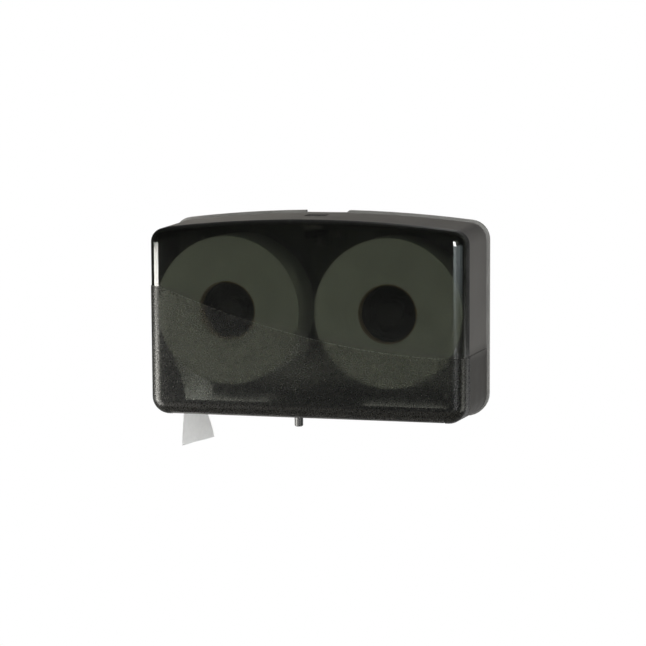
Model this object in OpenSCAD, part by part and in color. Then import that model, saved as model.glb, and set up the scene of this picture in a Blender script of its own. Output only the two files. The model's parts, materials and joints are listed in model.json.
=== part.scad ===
// Twin jumbo toilet roll dispenser, wall mounted, for two rolls side by side.
// Millimetres. X runs to the right, Y into the wall, Z up. The wall is the plane
// y = 0 and the front of the case is at negative y. The origin is midway between
// the two spindle axes, in the wall plane, which is also the middle of the four
// wall-screw holes.

/* [Case] */
// Width of the front cover at its back edge
case_w = 497; // [490:1:504]
// Depth from the wall to the front face of the glossy upper zone
case_d = 157; // [152:1:162]
// Height of the case floor line below the spindle axes
case_below = 164; // [162:1:168]
// Height of the straight sides above the spindle axes
case_above = 126; // [124:1:130]
// Rise of the arched top over the straight sides
arch_rise = 16; // [14:1:18]
// Radius of the two top corners
top_corner_r = 26; // [25:1:30]
// Radius of the two bottom corners
bottom_corner_r = 31; // [30:1:34]
// Radius of the rounded edge between the sides and the front face
front_edge_r = 18; // [16:1:19]
// Draft of the sides: how much each one draws in towards the front
draft = 5; // [4:0.5:6]
// Wall thickness of the front cover
wall = 3; // [2.5:0.5:3]

/* [Wave] */
// Height of the step line at the left side
wave_left_z = 37; // [30:1:45]
// Height of the step line at the right side
wave_right_z = -62; // [-70:1:-50]
// Power of the curve: higher falls faster from the left
wave_power = 1.84; // [1.6:0.02:2.2]
// How far the textured lower zone stands proud of the glossy upper zone
step_h = 1; // [0.6:0.1:1.2]
// Height of the small ledge between the two zones
ledge_h = 0.8; // [0.6:0.1:1.2]

/* [Backplate] */
// How far the rim of the backplate stands out round the cover
rim_proud = 4; // [3:0.5:5]
// Depth of the rim from the wall
rim_d = 9; // [8.5:0.5:9]
// Gap between the rim and the back edge of the cover
rim_gap = 1.4; // [1.2:0.1:1.6]
// Thickness of the backplate
plate_t = 3; // [2.5:0.5:3]
// Distance between the wall screws across the wall
wall_hole_x = 406; // [400:1:408]
// Distance between the wall screws up the wall
wall_hole_z = 200; // [190:5:205]
// Diameter of the wall-screw holes
wall_hole_d = 6.5; // [5:0.5:7]

/* [Rolls] */
// Distance between the two spindle axes
roll_spacing = 250; // [249:0.5:251]
// Outside diameter of a full roll
roll_d = 226; // [200:1:228]
// Width of the paper on the roll
roll_w = 90; // [88:1:92]
// Front face of the rolls, measured out from the wall
roll_front = 137; // [135:1:138]
// Inside diameter of the cardboard core
core_d = 86; // [84:1:86]
// Thickness of the cardboard core
core_t = 2; // [1.5:0.5:2]
// Diameter of the spindle where the hub turns on it
spindle_d = 24; // [22:1:24]
// Radial running clearance of hub, cover hinge and latch on their pins
running = 0.05; // [0.03:0.01:0.08]

/* [Outlets and gate] */
// Outer edge of each paper outlet, from the middle of the case
outlet_outer = 199; // [198:1:200]
// Inner edge of each paper outlet, from the middle of the case
outlet_inner = 56; // [54:1:60]
// Length of the sliding gate
gate_l = 146; // [140:1:146]
// Where the gate's knob stands
gate_x = -13.7; // [-20:0.1:20]
// Diameter of the gate's knob
knob_d = 13; // [11:0.5:13]
// Lowest point of the knob, below the spindle axes
knob_low = 173; // [168:1:175]

/* [Latch] */
// Middle of the latch and of the key recess above it
latch_x = -7; // [-8:1:-6]
// Left end of the notch in the rim above the latch
notch_left = -36; // [-38:1:-34]
// Right end of the notch, at its floor
notch_right = 29; // [27:1:32]

/* [Hidden] */
$fn = 64;
eps = 0.01;

// Outline of the cover's back edge: a box with two corner radii under a shallow arch
half_w = case_w / 2;
arch_r = (half_w * half_w + arch_rise * arch_rise) / (2 * arch_rise);
arch_cz = case_above + arch_rise - arch_r;
top_cx = half_w - top_corner_r;
top_cz = arch_cz + sqrt(pow(arch_r - top_corner_r, 2) - top_cx * top_cx);
top_a = atan2(top_cz - arch_cz, top_cx);
bottom_cx = half_w - bottom_corner_r;
bottom_cz = -case_below + bottom_corner_r;

// The cover's depths and insets
cover_back = rim_d + rim_gap;
edge_y = case_d - front_edge_r;
flat_inset = draft + front_edge_r;
flat_half = half_w - flat_inset;
lip_y = case_d - 6;

// Hinge axis of the cover
hinge_y = 45;
hinge_z = case_below - 6;
hinge_pin_r = 3;
hinge_boss_r = 5.5;
lug_x = 217.25;
ear_x = 208.5;
pin_x = 213.25;
cut_x = 213;

// Screws: pilot hole, clearance hole, and the places of the small ones
pilot_r = 1.7;
clear_r = 2.1;
spindle_screw_r = 30;
spindle_screw_a = [90, 210, 330];

// Outlet tray under the rolls
tray_half = 212;
tray_front = lip_y - 1.5;
floor_low = 158;
floor_t = 3;
tray_wall_t = 3;
tray_front_top = 137;
tray_screw_z = 144;
tray_screw_x = [-180, -70, 70, 180];

// Gate and its rails
gate_t = 2;
gate_gap = 0.3;
gate_front = tray_front - tray_wall_t - 0.9;
gate_back = 32.4;
gate_low = floor_low - floor_t - gate_gap;
rail_low = gate_low - gate_t - 0.4;
rail_t = 2;
knob_y = 135;

// Spindle, hub and cap
spindle_x = roll_spacing / 2;
flange_y = 13;
hub_back = roll_front - roll_w - 2.5;
spindle_end = 124;
hub_play = 0.5;

// Latch
pivot_y = 18;
pivot_z = 112;
latch_pin_r = 2;
lever_half = 10;
shelf_z = 97;
lever_low = 108;
spring_y = 36;
bracket_screw_x = 24;
bracket_screw_z = 108;

// Key recess in the top of the cover, and the pad under it that carries the catch
recess_x = [-24, 10];
recess_y = [34, 68];
recess_r = 5;
recess_z = 137.5;
pad_t = 4;
pad_side = 3;
pad_front = 87;
key_y = 49;
catch_z = recess_z - pad_t;
catch_screw_x = 9;
catch_screw_y = 79;

// Paper tail
paper_t = 0.8;
tail_r = roll_d / 2 + 0.3 + paper_t / 2;

// ---- Shared shapes ----

// Stands a flat shape, drawn in X and Z, between two depths in front of the wall
module between(near, far) {
    translate([0, -near, 0]) rotate([90, 0, 0]) linear_extrude(far - near) children();
}

// A round bar along Y, from one depth to another
module bar_y(x, z, r, near, far) {
    translate([x, -near, z]) rotate([90, 0, 0]) cylinder(r = r, h = far - near);
}

// A round bar along X, from x0 to x1
module bar_x(x0, x1, y, z, r) {
    translate([x0, -y, z]) rotate([0, 90, 0]) cylinder(r = r, h = x1 - x0);
}

// A box given by its lowest and highest X, its depths and its heights
module block(x, depth, z) {
    translate([x[0], -depth[1], z[0]]) cube([x[1] - x[0], depth[1] - depth[0], z[1] - z[0]]);
}

// A ring turned about Y, from a list of radius and depth pairs
module turned_y(x, z, points) {
    translate([x, 0, z]) rotate([90, 0, 0]) rotate_extrude($fn = 96) polygon(points);
}

// A pan-head screw pointing into the wall: head outside at depth face, shank behind it
module screw_y(x, z, face, shank_r, shank_l, head_r, head_h) {
    bar_y(x, z, shank_r, face - shank_l, face + eps);
    turned_y(x, z, [[0, face], [head_r, face], [head_r, face + head_h * 0.6],
        [head_r * 0.72, face + head_h], [0, face + head_h]]);
}

// ---- Case outline ----

// Each column of the outline is a point at the back edge, its outward normal, and
// whether it belongs to the raised lower zone
function arc_columns(cx, cz, r, a0, a1, n, low) = [
    for (i = [0 : n]) let (a = a0 + (a1 - a0) * i / n)
        [[cx + r * cos(a), cz + r * sin(a)], [cos(a), sin(a)], low]
];

function side_column(side, z, low) = [[side * half_w, z], [side, 0], low];

arch_columns = [
    for (i = [1 : 13]) let (a = top_a + (180 - 2 * top_a) * i / 14)
        [[arch_r * cos(a), arch_cz + arch_r * sin(a)], [cos(a), sin(a)], 0]
];

columns = concat(
    arc_columns(bottom_cx, bottom_cz, bottom_corner_r, -90, 0, 8, 1),
    [side_column(1, wave_right_z - ledge_h, 1), side_column(1, wave_right_z, 0)],
    arc_columns(top_cx, top_cz, top_corner_r, 0, top_a, 8, 0),
    arch_columns,
    arc_columns(-top_cx, top_cz, top_corner_r, 180 - top_a, 180, 8, 0),
    [side_column(-1, wave_left_z, 0), side_column(-1, wave_left_z - ledge_h, 1)],
    arc_columns(-bottom_cx, bottom_cz, bottom_corner_r, 180, 270, 8, 1)
);
n_col = len(columns);

// A column's point when the outline is drawn in by inset
function inset_point(column, inset) = column[0] - inset * column[1];

// The back outline drawn in by inset, without the raised zone
module case_outline(inset) {
    polygon([for (column = columns) inset_point(column, inset)]);
}

// ---- Front cover shell ----

// Height of the step line across the front face
function wave_z(x) = wave_right_z
    + (wave_left_z - wave_right_z) * pow((flat_half - x) / (2 * flat_half), wave_power);

// Outer rings of the shell: inset, depth, and the angle of the normal
side_rings = [[0, cover_back, 0], [draft, edge_y, 0]];
edge_angles = [15 : 15 : 90];
outer_rings = concat(side_rings, [for (a = edge_angles)
    [draft + front_edge_r * (1 - cos(a)), edge_y + front_edge_r * sin(a), a]]);
inner_r = front_edge_r - wall;
inner_rings = concat([[wall, cover_back], [draft + wall, edge_y]], [for (a = edge_angles)
    [draft + front_edge_r - inner_r * cos(a), edge_y + inner_r * sin(a)]]);

// A point of an outer ring, with the lower zone standing proud by step_h
function outer_point(column, ring) = let (
        raise = column[2] * step_h,
        p = inset_point(column, ring[0] - raise * cos(ring[2]))
    ) [p[0], -(ring[1] + raise * sin(ring[2])), p[1]];

// The front face shrinks to a pole on the step line. The two columns on the step
// line bend to follow the wave, and their neighbours bend along with them
face_steps = [5, 4, 3, 2, 1];
pole_z = wave_z(0);
bend_reach = 180;
function bend(side, k) = wave_z(side * k * flat_half)
    - (pole_z + k * ((side < 0 ? wave_left_z : wave_right_z) - pole_z));
function bend_share(side, p, drop) = max(0, side * p[0] / flat_half)
    * max(0, 1 - abs(p[1] + drop - (side < 0 ? wave_left_z : wave_right_z)) / bend_reach);
function face_point(column, k) = let (
        p = inset_point(column, flat_inset),
        drop = column[2] * ledge_h,
        lift = bend_share(-1, p, drop) * bend(-1, k) + bend_share(1, p, drop) * bend(1, k)
    ) [k * p[0], -(case_d + column[2] * step_h),
        pole_z - drop + k * (p[1] - pole_z + drop) + lift];

n_outer = len(outer_rings) + len(face_steps);
n_inner = len(inner_rings);
shell_points = concat(
    [for (ring = outer_rings) for (column = columns) outer_point(column, ring)],
    [for (s = face_steps) for (column = columns) face_point(column, s / 6)],
    [for (ring = inner_rings) for (column = columns)
        let (p = inset_point(column, ring[0])) [p[0], -ring[1], p[1]]],
    [[0, -case_d, pole_z], [0, -(case_d + step_h), pole_z - ledge_h],
        [0, -(case_d - wall), pole_z]]
);
inner_start = n_outer * n_col;
pole_high = inner_start + n_inner * n_col;
pole_low = pole_high + 1;
pole_inner = pole_high + 2;

// Two triangles between two rings, turned outwards or inwards
function quad(a, b, c, d) = [[a, b, c], [a, c, d]];
function next(i) = (i + 1) % n_col;
shell_faces = concat(
    [for (k = [0 : n_outer - 2]) for (i = [0 : n_col - 1])
        for (t = quad(k * n_col + i, (k + 1) * n_col + i,
            (k + 1) * n_col + next(i), k * n_col + next(i))) t],
    [for (i = [0 : n_col - 1]) let (
            r = (n_outer - 1) * n_col, a = r + i, b = r + next(i),
            pa = columns[i][2] == 1 ? pole_low : pole_high,
            pb = columns[next(i)][2] == 1 ? pole_low : pole_high
        ) for (t = pa == pb ? [[a, pa, b]] : quad(a, pa, pb, b)) t],
    [for (k = [0 : n_inner - 2]) for (i = [0 : n_col - 1])
        let (a = inner_start + k * n_col)
        for (t = quad(a + next(i), a + n_col + next(i), a + n_col + i, a + i)) t],
    [for (i = [0 : n_col - 1]) let (r = inner_start + (n_inner - 1) * n_col)
        [r + next(i), pole_inner, r + i]],
    [for (i = [0 : n_col - 1])
        for (t = quad(i, next(i), inner_start + next(i), inner_start + i)) t]
);

// Rounded rectangle in plan for the key recess
module recess_plan() {
    translate([recess_x[0] + recess_r, -recess_y[1]])
        square([recess_x[1] - recess_x[0] - 2 * recess_r, recess_y[1] - recess_y[0]]);
    translate([recess_x[0], -recess_y[1] + recess_r])
        square([recess_x[1] - recess_x[0], recess_y[1] - recess_y[0] - 2 * recess_r]);
    for (x = [recess_x[0] + recess_r, recess_x[1] - recess_r])
        for (y = [recess_y[0] + recess_r, recess_y[1] - recess_r])
            translate([x, -y]) circle(r = recess_r);
}

// Smoked translucent cover, hinged at the bottom, with the key recess in its top
module front_cover() {
    color([0.13, 0.13, 0.12, 0.75]) difference() {
        union() {
            polyhedron(shell_points, shell_faces);
            block([recess_x[0] - pad_side, recess_x[1] + pad_side],
                [cover_back, pad_front], [catch_z, recess_z]);
            for (side = [-1, 1])
                bar_x(side * lug_x - 3.75, side * lug_x + 3.75, hinge_y, -hinge_z, hinge_boss_r);
        }
        block([-cut_x, cut_x], [0, lip_y], [-case_below - 6, -140]);
        translate([0, 0, recess_z]) linear_extrude(10) recess_plan();
        translate([latch_x, -key_y, catch_z - 1]) cylinder(r = 6, h = 7);
        for (side = [-1, 1])
            bar_x(side * lug_x - 6, side * lug_x + 6, hinge_y, -hinge_z, hinge_pin_r + running);
        for (side = [-1, 1])
            translate([latch_x + side * catch_screw_x, -catch_screw_y, catch_z - 1])
                cylinder(r = 1.2, h = 3.5);
    }
}

// Trim ring that guides the key through the recess floor
module key_bezel() {
    color([0.2, 0.2, 0.2]) translate([latch_x, -key_y, 0]) difference() {
        union() {
            translate([0, 0, recess_z]) cylinder(r = 11, h = 1.6);
            translate([0, 0, catch_z]) cylinder(r = 6, h = pad_t + 0.5);
        }
        translate([0, 0, catch_z - 1]) cylinder(r = 5, h = 8);
    }
}

// Steel angle under the recess that the latch hooks in front of
module catch_plate() {
    color("silver") difference() {
        union() {
            block([latch_x - 14, latch_x + 14], [70, 86], [catch_z - 2, catch_z]);
            block([latch_x - 14, latch_x + 14], [70, 72], [122, catch_z - 1]);
        }
        for (side = [-1, 1])
            translate([latch_x + side * catch_screw_x, -catch_screw_y, catch_z - 3]) cylinder(r = 1.5, h = 4);
    }
}

module catch_screws() {
    color("silver") for (side = [-1, 1]) translate([latch_x + side * catch_screw_x, -catch_screw_y, 0]) {
        translate([0, 0, catch_z - 2.1]) cylinder(r = 1.2, h = 4.4);
        translate([0, 0, catch_z - 3.8]) cylinder(r1 = 2, r2 = 2.6, h = 1.8);
    }
}

// ---- Backplate ----

plate_rib_x = [-32, 32];
plate_rib_z = [-72, 72];

// Moulded back with a proud rim, a notch over the latch, pads and ribs
module backplate() {
    top_z = case_above + arch_rise;
    color([0.2, 0.2, 0.2]) difference() {
        union() {
            between(0, plate_t) case_outline(-rim_proud);
            between(0, rim_d) difference() {
                case_outline(-rim_proud);
                case_outline(8);
            }
            for (x = [-wall_hole_x / 2, wall_hole_x / 2])
                for (z = [-wall_hole_z / 2, wall_hole_z / 2]) bar_y(x, z, 11, 0, 6);
            for (side = [-1, 1]) bar_y(side * spindle_x, 0, 42, 0, 9);
            for (x = tray_screw_x) bar_y(x, -tray_screw_z, 7, 0, 9);
            block([latch_x - 36, latch_x + 36], [0, 6], [90, 124]);
            for (x = plate_rib_x) block([x - 1.5, x + 1.5], [0, 7], [-132, 90.5]);
            for (z = plate_rib_z) block([-210, 210], [0, 5], [z - 1.5, z + 1.5]);
        }
        between(-1, rim_d - 2.5) difference() {
            case_outline(1);
            case_outline(5);
        }
        for (x = [-wall_hole_x / 2, wall_hole_x / 2])
            for (z = [-wall_hole_z / 2, wall_hole_z / 2]) bar_y(x, z, wall_hole_d / 2, -1, 10);
        for (side = [-1, 1]) for (a = spindle_screw_a)
            bar_y(side * spindle_x + spindle_screw_r * cos(a), spindle_screw_r * sin(a),
                pilot_r, 1, 10);
        for (x = tray_screw_x) bar_y(x, -tray_screw_z, pilot_r, 1, 10);
        for (side = [-1, 1]) bar_y(latch_x + side * bracket_screw_x, bracket_screw_z, pilot_r, 1, 10);
        between(-1, rim_d + 1) polygon([[notch_left, top_z + 0.3], [notch_left, top_z + 12],
            [notch_right + 12, top_z + 12], [notch_right + 5, top_z + rim_proud],
            [notch_right, top_z + 0.3]]);
    }
}

// ---- Rolls and spindles ----

// Fixed spindle: flange, shoulder, journal
module spindle(side) {
    r = spindle_d / 2;
    color([0.16, 0.16, 0.16]) difference() {
        turned_y(side * spindle_x, 0, [[0, 9], [38, 9], [38, flange_y], [20, flange_y],
            [16, flange_y + 4], [16, hub_back], [r, hub_back], [r, spindle_end],
            [6, spindle_end], [6, hub_back + 10], [0, hub_back + 10]]);
        for (a = spindle_screw_a) bar_y(side * spindle_x + spindle_screw_r * cos(a),
            spindle_screw_r * sin(a), clear_r, 8, flange_y + 1);
    }
}

module spindle_screws(side) {
    color("silver") for (a = spindle_screw_a) screw_y(side * spindle_x + spindle_screw_r * cos(a),
        spindle_screw_r * sin(a), flange_y, pilot_r, 10, 4, 2.6);
}

// Cap that keeps the hub on the spindle
module spindle_cap(side) {
    color([0.25, 0.25, 0.25]) turned_y(side * spindle_x, 0, [[0, spindle_end - 16],
        [6, spindle_end - 16], [6, spindle_end], [19, spindle_end], [19, spindle_end + 3],
        [15, spindle_end + 5.5], [0, spindle_end + 5.5]]);
}

// Hub that turns on the spindle: sleeve, web, rim that holds the core, back flange
module core_hub(side) {
    bore = spindle_d / 2 + running;
    rim = core_d / 2;
    back = hub_back + hub_play;
    front = spindle_end - hub_play;
    color([0.18, 0.18, 0.18]) difference() {
        turned_y(side * spindle_x, 0, [[bore, back], [52, back], [52, back + 2], [rim, back + 2],
            [rim, front - 2], [rim - 1.5, front], [rim - 2.5, front], [rim - 2.5, 93],
            [17, 93], [17, front], [bore, front]]);
        turned_y(side * spindle_x, 0, [[17, back + 3], [rim - 2.5, back + 3],
            [rim - 2.5, 90], [17, 90]]);
        for (a = [0 : 60 : 300])
            bar_y(side * spindle_x + 29 * cos(a), 29 * sin(a), 8, 89, 94);
    }
}

module core(side) {
    r = core_d / 2;
    color([0.55, 0.45, 0.33]) turned_y(side * spindle_x, 0, [[r, roll_front - roll_w],
        [r + core_t, roll_front - roll_w], [r + core_t, roll_front], [r, roll_front]]);
}

module tissue_roll(side) {
    r = roll_d / 2;
    c = core_d / 2 + core_t;
    color([0.95, 0.95, 0.93]) turned_y(side * spindle_x, 0, [[c, roll_front - roll_w],
        [r - 1, roll_front - roll_w], [r, roll_front - roll_w + 1], [r, roll_front - 1],
        [r - 1, roll_front], [c, roll_front]]);
}

// ---- Paper tail from the left roll ----

// The tail wraps the last of the roll, falls in one curve to the outlet, and hangs
// below it with a slight twist. Each stretch gives x and z of its middle line.
wrap_a = [196, 210];
tail_top = [-spindle_x + tail_r * cos(wrap_a[1]), tail_r * sin(wrap_a[1])];
tail_lead = tail_top + 45 * [-sin(wrap_a[1]), cos(wrap_a[1])];
tail_out = [-194.8, -floor_low];
tail_above = [-193, -126];
tail_front_x = [-196, -200];
tail_rear_x = [-191.8, -178];
tail_low = 210.5;
tail_y = [[roll_front - 0.5, roll_front - roll_w + 0.5], [135, 45.5]];

function mix(a, b, t) = a + (b - a) * t;
function ease(t) = t * t * (3 - 2 * t);
function bezier(a, b, c, d, t) = pow(1 - t, 3) * a + 3 * pow(1 - t, 2) * t * b
    + 3 * (1 - t) * t * t * c + t * t * t * d;
// Middle line at t from 0 (on the roll) to 1 (torn edge), v from 0 (front) to 1 (rear)
function tail_line(t, v) =
    t < 0.15 ? let (a = mix(wrap_a[0], wrap_a[1], t / 0.15))
            [-spindle_x + tail_r * cos(a), tail_r * sin(a)]
    : t < 0.7 ? let (s = (t - 0.15) / 0.55)
            bezier(tail_top, tail_lead, tail_above,
                [mix(tail_front_x[0], tail_rear_x[0], v), tail_out[1]], s)
    : let (s = (t - 0.7) / 0.3)
            [mix(mix(tail_front_x[0], tail_front_x[1], sin(90 * s)),
                mix(tail_rear_x[0], tail_rear_x[1], mix(s, ease(s), 0.5)), v),
                mix(tail_out[1], -tail_low, s)];
function tail_depth(t, v) = mix(mix(tail_y[0][0], tail_y[1][0], ease(t)),
    mix(tail_y[0][1], tail_y[1][1], ease(t)), v);
// Unit normal of the middle line in the X-Z plane, pointing away from the roll
function tail_normal(t, v) = let (
        d = tail_line(min(t + 0.01, 1), v) - tail_line(max(t - 0.01, 0), v)
    ) [d[1], -d[0]] / norm(d);
tail_n = 30;
tail_m = 6;
function tail_point(i, j, s) = let (
        t = i / tail_n, v = j / tail_m,
        p = tail_line(t, v) + s * paper_t / 2 * tail_normal(t, v)
    ) [p[0], -tail_depth(t, v), p[1]];
tail_row = tail_m + 1;
tail_side = (tail_n + 1) * tail_row;
function at(i, j, s) = s * tail_side + i * tail_row + j;
tail_faces = concat(
    [for (i = [0 : tail_n - 1]) for (j = [0 : tail_m - 1])
        for (t = quad(at(i, j, 0), at(i, j + 1, 0), at(i + 1, j + 1, 0), at(i + 1, j, 0))) t],
    [for (i = [0 : tail_n - 1]) for (j = [0 : tail_m - 1])
        for (t = quad(at(i, j, 1), at(i + 1, j, 1), at(i + 1, j + 1, 1), at(i, j + 1, 1))) t],
    [for (i = [0 : tail_n - 1])
        for (t = quad(at(i, 0, 0), at(i + 1, 0, 0), at(i + 1, 0, 1), at(i, 0, 1))) t],
    [for (i = [0 : tail_n - 1])
        for (t = quad(at(i, tail_m, 0), at(i, tail_m, 1), at(i + 1, tail_m, 1),
            at(i + 1, tail_m, 0))) t],
    [for (j = [0 : tail_m - 1])
        for (t = quad(at(0, j, 0), at(0, j, 1), at(0, j + 1, 1), at(0, j + 1, 0))) t],
    [for (j = [0 : tail_m - 1])
        for (t = quad(at(tail_n, j, 0), at(tail_n, j + 1, 0), at(tail_n, j + 1, 1),
            at(tail_n, j, 1))) t]
);

module tissue_tail() {
    color([0.96, 0.96, 0.95]) polyhedron(
        [for (s = [0, 1]) for (i = [0 : tail_n]) for (j = [0 : tail_m])
            tail_point(i, j, 2 * s - 1)],
        tail_faces);
}

// ---- Outlet tray ----

// Floor with two paper outlets joined by the knob's slot, rails for the gate, and
// ears for the cover's hinge pins
module outlet_tray() {
    color([0.12, 0.12, 0.12]) difference() {
        union() {
            block([-tray_half, tray_half], [rim_d, tray_front], [-floor_low, -floor_low + floor_t]);
            block([-tray_half, tray_half], [rim_d, rim_d + tray_wall_t], [-floor_low, -136]);
            block([-tray_half, tray_half], [tray_front - tray_wall_t, tray_front],
                [-floor_low, -tray_front_top]);
            block([-200, 200], [tray_front - 7.5, tray_front - 1], [-rail_low, -rail_low + rail_t]);
            block([-200, 200], [gate_back - 3.4, gate_back - 0.9],
                [-floor_low, -rail_low + rail_t]);
            block([-200, 200], [gate_back - 3.4, gate_back + 3.2],
                [-rail_low, -rail_low + rail_t]);
            for (side = [-1, 1]) {
                block([side * 210.5 - 1.5, side * 210.5 + 1.5], [rim_d, tray_front],
                    [-floor_low, -142]);
                bar_x(side * ear_x - 3.5, side * ear_x + 3.5, hinge_y, -hinge_z, hinge_boss_r + 0.5);
            }
        }
        for (side = [-1, 1]) {
            block([min(side * outlet_inner, side * outlet_outer),
                max(side * outlet_inner, side * outlet_outer)], [38, 141],
                [-floor_low - 1, -floor_low + floor_t + 1]);
            bar_x(side * ear_x - 5, side * ear_x + 5, hinge_y, -hinge_z, hinge_pin_r);
        }
        block([-124.5, 124.5], [knob_y - 7.2, knob_y + 7.2],
            [-floor_low - 1, -floor_low + floor_t + 1]);
        for (x = tray_screw_x) bar_y(x, -tray_screw_z, clear_r, 8, 13);
    }
}

module tray_screws() {
    color("silver") for (x = tray_screw_x)
        screw_y(x, -tray_screw_z, rim_d + tray_wall_t, pilot_r, 9, 4, 2.6);
}

module hinge_pin(side) {
    color("silver") bar_x(side * pin_x - 8, side * pin_x + 8, hinge_y, -hinge_z, hinge_pin_r);
}

// Serrated strip at the outer edge of an outlet
tooth_pitch = 4;
strip_y = [54, 138];
rivet_y = [68, 122];
strip_n = (strip_y[1] - strip_y[0]) / tooth_pitch;
module tear_strip(side) {
    tip = outlet_outer - 1.8;
    root = outlet_outer + 0.2;
    color([0.72, 0.72, 0.7]) translate([0, 0, -floor_low - 0.8]) difference() {
        linear_extrude(0.8) polygon(concat(
            [[side * (outlet_outer + 8), -strip_y[1]], [side * (outlet_outer + 8), -strip_y[0]]],
            [for (i = [0 : strip_n - 1]) for (q = [[root, 0], [tip, 0.5]])
                [side * q[0], -strip_y[0] - (i + q[1]) * tooth_pitch]],
            [[side * root, -strip_y[1]]]));
        for (y = rivet_y) translate([side * (outlet_outer + 5), -y, -1]) cylinder(r = 1.5, h = 3);
    }
}

module tear_strip_rivets() {
    color("silver") for (side = [-1, 1]) for (y = rivet_y)
        translate([side * (outlet_outer + 5), -y, -floor_low - 1.8]) {
            cylinder(r = 1.5, h = 1.8);
            cylinder(r1 = 2.2, r2 = 2.8, h = 1);
        }
}

// ---- Gate ----

module gate_panel() {
    color([0.14, 0.14, 0.14]) difference() {
        block([gate_x - gate_l / 2, gate_x + gate_l / 2], [gate_back, gate_front],
            [-gate_low, -gate_low + gate_t]);
        translate([gate_x, -knob_y, -gate_low - 1]) cylinder(r = 2, h = gate_t + 2);
        for (i = [-2 : 2]) block([gate_x - 55, gate_x + 55], [60 + i * 12, 63 + i * 12],
            [-gate_low + 1.2, -gate_low + gate_t + 1]);
    }
}

// Fluted knob that hangs through the slot
module gate_knob() {
    color([0.08, 0.08, 0.08]) translate([gate_x, -knob_y, -knob_low]) difference() {
        rotate_extrude() polygon([[0, 0], [knob_d / 2 - 1.5, 0], [knob_d / 2, 1.5],
            [knob_d / 2, knob_low - gate_low], [0, knob_low - gate_low]]);
        for (a = [0 : 30 : 330]) translate([(knob_d / 2 + 0.5) * cos(a), (knob_d / 2 + 0.5) * sin(a), -1])
            cylinder(r = 1, h = 13, $fn = 24);
        translate([0, 0, knob_low - gate_low - 9]) cylinder(r = 1.5, h = 10);
    }
}

module gate_screw() {
    color("silver") translate([gate_x, -knob_y, -gate_low]) {
        translate([0, 0, -8]) cylinder(r = 1.5, h = 8 + gate_t);
        translate([0, 0, gate_t]) cylinder(r1 = 3.4, r2 = 2.6, h = 1.8);
    }
}

// ---- Latch ----

module latch_bracket() {
    color([0.22, 0.22, 0.22]) difference() {
        union() {
            block([latch_x - 34, latch_x + 34], [6, 8.5], [94, 122]);
            for (side = [-1, 1])
                block([latch_x + side * 12 - 1.5, latch_x + side * 12 + 1.5], [6, 25], [94, 119]);
            block([latch_x - 13.5, latch_x + 13.5], [6, 42], [shelf_z - 3, shelf_z]);
        }
        bar_x(latch_x - 15, latch_x + 15, pivot_y, pivot_z, latch_pin_r);
        for (side = [-1, 1])
            bar_y(latch_x + side * bracket_screw_x, bracket_screw_z, clear_r, 5, 10);
    }
}

module latch_bracket_screws() {
    color("silver") for (side = [-1, 1]) screw_y(latch_x + side * bracket_screw_x,
        bracket_screw_z, 8.5, pilot_r, 7, 4, 2.6);
}

module latch_pin() {
    color("silver")
        bar_x(latch_x - 13.5, latch_x + 13.5, pivot_y, pivot_z, latch_pin_r);
}

// Lever with a hooked nose at its front and a post under the key hole. Its profile
// is drawn in depth and height
module latch_lever() {
    color([0.12, 0.12, 0.12]) difference() {
        union() {
            translate([latch_x - lever_half, 0, 0]) rotate([90, 0, 90])
                linear_extrude(2 * lever_half) polygon([[-pivot_y, lever_low],
                    [-pivot_y, lever_low + 6], [-75, lever_low + 5], [-75, 119.5],
                    [-78, 119.5], [-84, 113], [-84, lever_low]]);
            bar_x(latch_x - lever_half, latch_x + lever_half, pivot_y, pivot_z, 5.5);
            translate([latch_x, -key_y, lever_low + 1]) cylinder(r = 4, h = 128 - lever_low - 1);
        }
        bar_x(latch_x - 15, latch_x + 15, pivot_y, pivot_z, latch_pin_r + running);
    }
}

// Compression spring under the lever: one wire swept along a helix
spring_r = 4;
wire_r = 0.5;
spring_turns = 5;
spring_steps = spring_turns * 8;
spring_sides = 6;
spring_l = lever_low - shelf_z - 2 * wire_r - 0.2;
spring_pitch = spring_l / spring_turns;
echo(str("least gap between the spring's turns: ", spring_pitch - 2 * wire_r, " mm"));
function spring_point(i, j) = let (
        a = i * 360 / 8, b = j * 360 / spring_sides, r = spring_r + wire_r * cos(b)
    ) [latch_x + r * cos(a), -spring_y + r * sin(a),
        shelf_z + wire_r + 0.1 + spring_l * i / spring_steps + wire_r * sin(b)];
spring_ends = (spring_steps + 1) * spring_sides;
module latch_spring() {
    color("silver") polyhedron(
        concat([for (i = [0 : spring_steps]) for (j = [0 : spring_sides - 1]) spring_point(i, j)],
            [[latch_x + spring_r, -spring_y, shelf_z + wire_r + 0.1],
                [latch_x + spring_r, -spring_y, shelf_z + wire_r + 0.1 + spring_l]]),
        concat([for (i = [0 : spring_steps - 1]) for (j = [0 : spring_sides - 1]) let (
                    k = (j + 1) % spring_sides, a = i * spring_sides, b = a + spring_sides)
                for (t = quad(a + j, b + j, b + k, a + k)) t],
            [for (j = [0 : spring_sides - 1]) let (k = (j + 1) % spring_sides)
                [spring_ends, j, k]],
            [for (j = [0 : spring_sides - 1]) let (k = (j + 1) % spring_sides,
                    a = spring_steps * spring_sides) [spring_ends + 1, a + k, a + j]]));
}

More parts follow.
